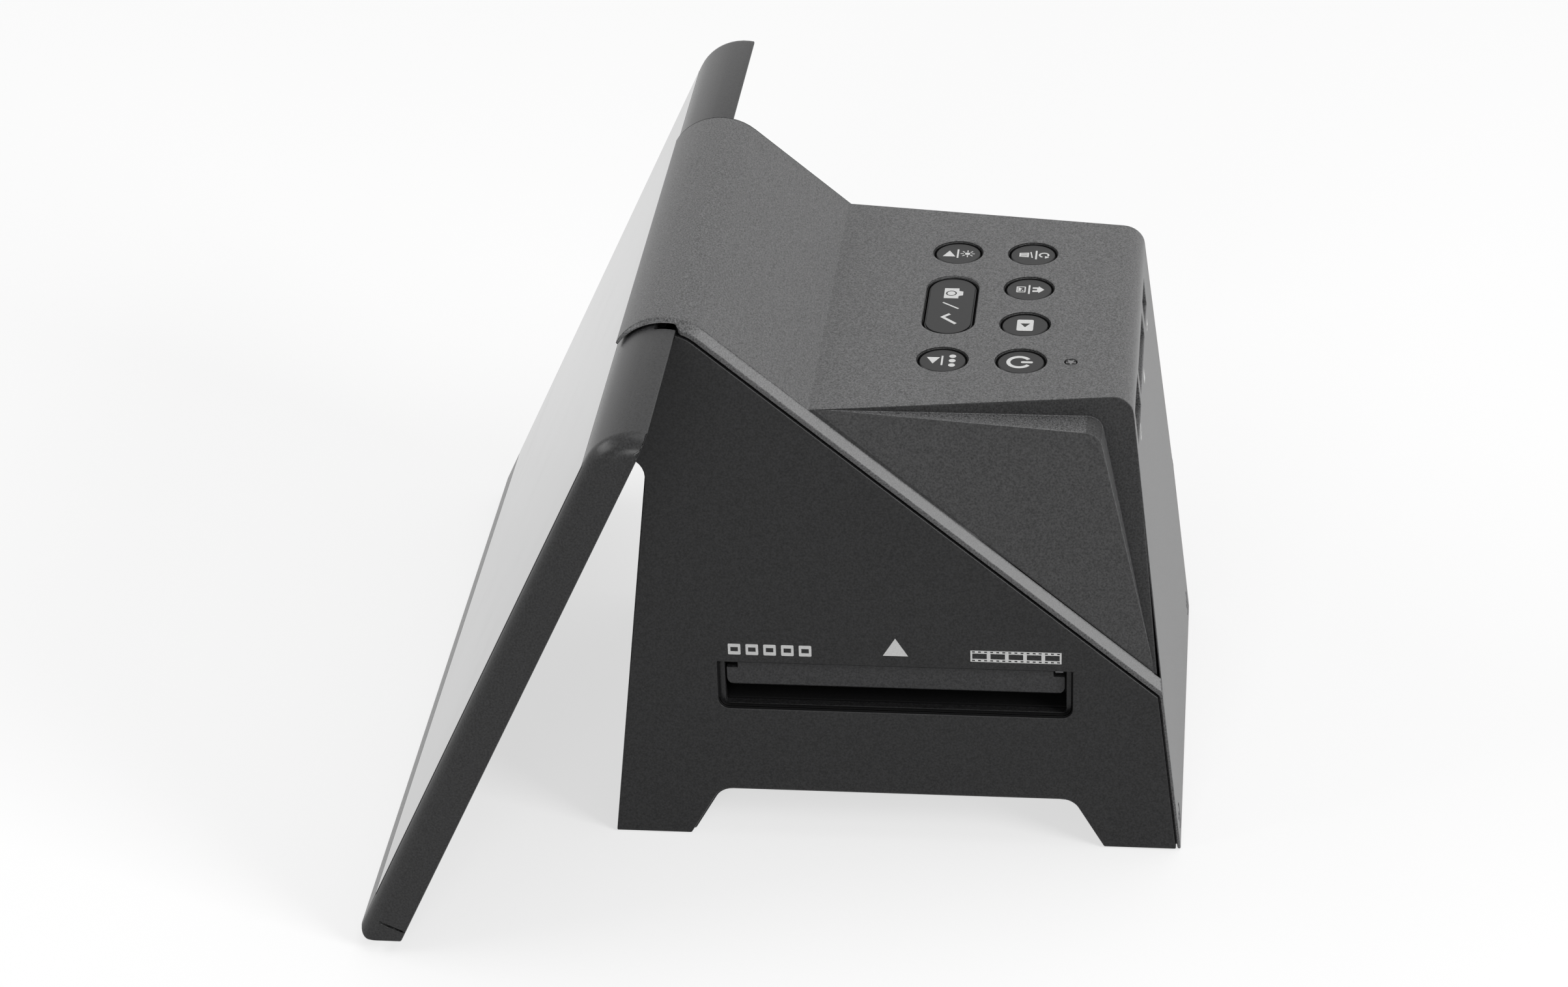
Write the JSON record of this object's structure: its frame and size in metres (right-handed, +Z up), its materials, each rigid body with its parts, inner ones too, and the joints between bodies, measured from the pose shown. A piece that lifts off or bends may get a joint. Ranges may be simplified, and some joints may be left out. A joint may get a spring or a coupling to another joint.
{
  "type": "film negative scanner",
  "caption": "Desktop film scanner with a wide tilting display on a hooded wedge body, buttons on a rear deck and a film slot with dust flaps through both sides.",
  "frame": {"origin": "bottom centre of the whole object at rest, on the table", "axes": "+X to the right of a user who faces the display, +Y towards the rear, +Z up; the display faces -Y"},
  "size_m": [0.2104, 0.1853, 0.1368],
  "materials": {
    "shell_grey": "fine spark-eroded grain, dark grey",
    "panel_black": "fine grain, near black",
    "display_grey": "fine grain, dark grey",
    "inner_black": "matt black",
    "button_black": "satin with a white printed pictogram",
    "foot_rubber": "matt",
    "display_glass": "gloss cover glass, dark behind",
    "lcd_dark": "switched-off panel",
    "screw_steel": "zinc plated",
    "hinge_steel": "plated steel",
    "socket_steel": "stamped and plated",
    "circuit_board": "green solder mask",
    "white_plastic": "white moulding",
    "light_pipe": "frosted clear plastic",
    "lens_glass": "coated lens"
  },
  "bodies": {
    "body": {"top_shell": "shell_grey", "base_shell": "panel_black", "right_side_panel": "panel_black", "left_side_panel": "panel_black", "rubber_feet": "foot_rubber", "body_screws": "screw_steel", "film_track_lower": "inner_black", "film_track_upper": "inner_black", "light_box": "white_plastic", "backlight_board": "circuit_board", "diffuser": "white_plastic", "lens_tube": "inner_black", "lens": "lens_glass", "sensor_board": "circuit_board", "main_board": "circuit_board", "card_socket": "socket_steel", "usb_socket": "socket_steel", "video_socket": "socket_steel", "button_board": "circuit_board", "button_switches": "white_plastic", "board_screws": "screw_steel", "status_light": "light_pipe", "flap_springs": "screw_steel", "hinge_brackets": "hinge_steel", "hinge_screws": "screw_steel"},
    "display": {"hinge_pins": "hinge_steel", "hinge_arms": "hinge_steel", "display_frame": "display_grey", "display_glass": "display_glass", "lcd_panel": "lcd_dark", "display_rear_cover": "display_grey", "display_board": "circuit_board", "display_screws": "screw_steel"},
    "right_flap": {"right_dust_flap": "inner_black"},
    "left_flap": {"left_dust_flap": "inner_black"},
    "left_button": {"button_left": "button_black"},
    "ok_button": {"button_ok": "button_black"},
    "right_button": {"button_right": "button_black"},
    "delete_button": {"button_delete": "button_black"},
    "home_button": {"button_home": "button_black"},
    "play_button": {"button_play": "button_black"},
    "power_button": {"button_power": "button_black"}
  },
  "joints": [
    {"name": "display_tilt", "type": "hinge", "parent": "body", "child": "display", "pos_m": [0, -0.02311, 0.123], "axis": [-1, 0, 0], "range_deg": [-2, 17]},
    {"name": "right_flap_swing", "type": "hinge", "parent": "body", "child": "right_flap", "pos_m": [0.0506, 0.02609, 0.0472], "axis": [0, 1, 0], "range_deg": [0, 65], "stiffness_Nm_per_rad": 0.0004, "springref_deg": -17.19},
    {"name": "left_flap_swing", "type": "hinge", "parent": "body", "child": "left_flap", "pos_m": [-0.0506, 0.02609, 0.0472], "axis": [0, 1, 0], "range_deg": [0, 65], "stiffness_Nm_per_rad": 0.0004, "springref_deg": -17.19},
    {"name": "left_press", "type": "slide", "parent": "body", "child": "left_button", "axis": [0, 0, -1], "range_m": [0, 0.0006], "stiffness_N_per_m": 800, "springref_m": -0.0008},
    {"name": "ok_press", "type": "slide", "parent": "body", "child": "ok_button", "axis": [0, 0, -1], "range_m": [0, 0.0006], "stiffness_N_per_m": 800, "springref_m": -0.0008},
    {"name": "right_press", "type": "slide", "parent": "body", "child": "right_button", "axis": [0, 0, -1], "range_m": [0, 0.0006], "stiffness_N_per_m": 800, "springref_m": -0.0008},
    {"name": "delete_press", "type": "slide", "parent": "body", "child": "delete_button", "axis": [0, 0, -1], "range_m": [0, 0.0006], "stiffness_N_per_m": 800, "springref_m": -0.0008},
    {"name": "home_press", "type": "slide", "parent": "body", "child": "home_button", "axis": [0, 0, -1], "range_m": [0, 0.0006], "stiffness_N_per_m": 800, "springref_m": -0.0008},
    {"name": "play_press", "type": "slide", "parent": "body", "child": "play_button", "axis": [0, 0, -1], "range_m": [0, 0.0006], "stiffness_N_per_m": 800, "springref_m": -0.0008},
    {"name": "power_press", "type": "slide", "parent": "body", "child": "power_button", "axis": [0, 0, -1], "range_m": [0, 0.0006], "stiffness_N_per_m": 800, "springref_m": -0.0008}
  ]
}
